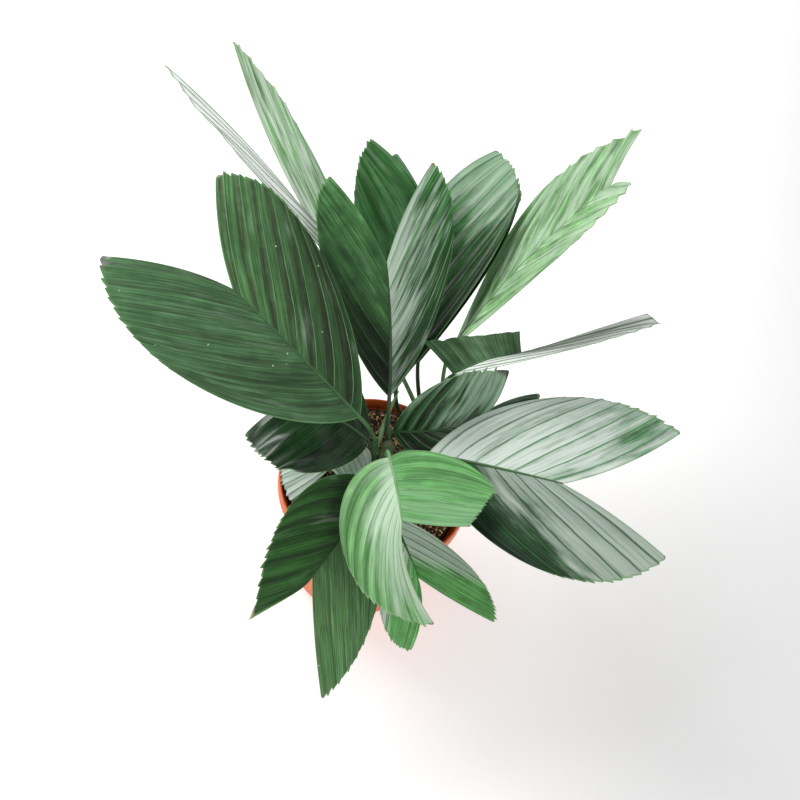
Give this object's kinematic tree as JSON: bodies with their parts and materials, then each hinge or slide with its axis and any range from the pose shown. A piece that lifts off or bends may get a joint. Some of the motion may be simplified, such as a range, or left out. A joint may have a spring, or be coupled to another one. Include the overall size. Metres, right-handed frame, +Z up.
{
  "type": "potted palm",
  "caption": "Potted metallic palm: short canes in a plain tapered nursery pot carry arching, pleated, fishtail-shaped leaves with toothed edges; stands on a shelf or table as greenery.",
  "frame": {"origin": "centre of the pot's underside, on the surface the pot stands on", "axes": "+Z up along the pot's axis, +X to the right of the front view, +Y away from the viewer, so that the front of the plant faces -Y"},
  "size_m": [0.357, 0.348, 0.2872],
  "materials": {
    "pot_plastic": "satin terracotta-orange injection-moulded plastic",
    "coir_mix": "loose damp coir and bark chips, orange-brown to near black",
    "cane_bark": "smooth green stem ringed by old leaf scars",
    "dark_leaf": "waxy blue-green leaf with a metallic sheen and pale ribs",
    "young_leaf": "waxy light green leaf, strongly pleated"
  },
  "bodies": {
    "root": {"pot": "pot_plastic", "soil": "coir_mix", "cane_left": "cane_bark", "cane_right": "cane_bark", "frond_left": "dark_leaf", "frond_middle": "dark_leaf", "frond_back": "dark_leaf", "frond_back_lower": "dark_leaf", "frond_right_young": "young_leaf", "frond_right_folded": "dark_leaf", "frond_right_inner": "dark_leaf", "frond_right": "dark_leaf", "frond_front_young": "young_leaf", "frond_front_left": "dark_leaf", "frond_front_right": "dark_leaf", "frond_left_lower": "dark_leaf", "frond_left_small": "dark_leaf", "frond_back_left": "young_leaf", "spear": "young_leaf"}
  },
  "joints": []
}
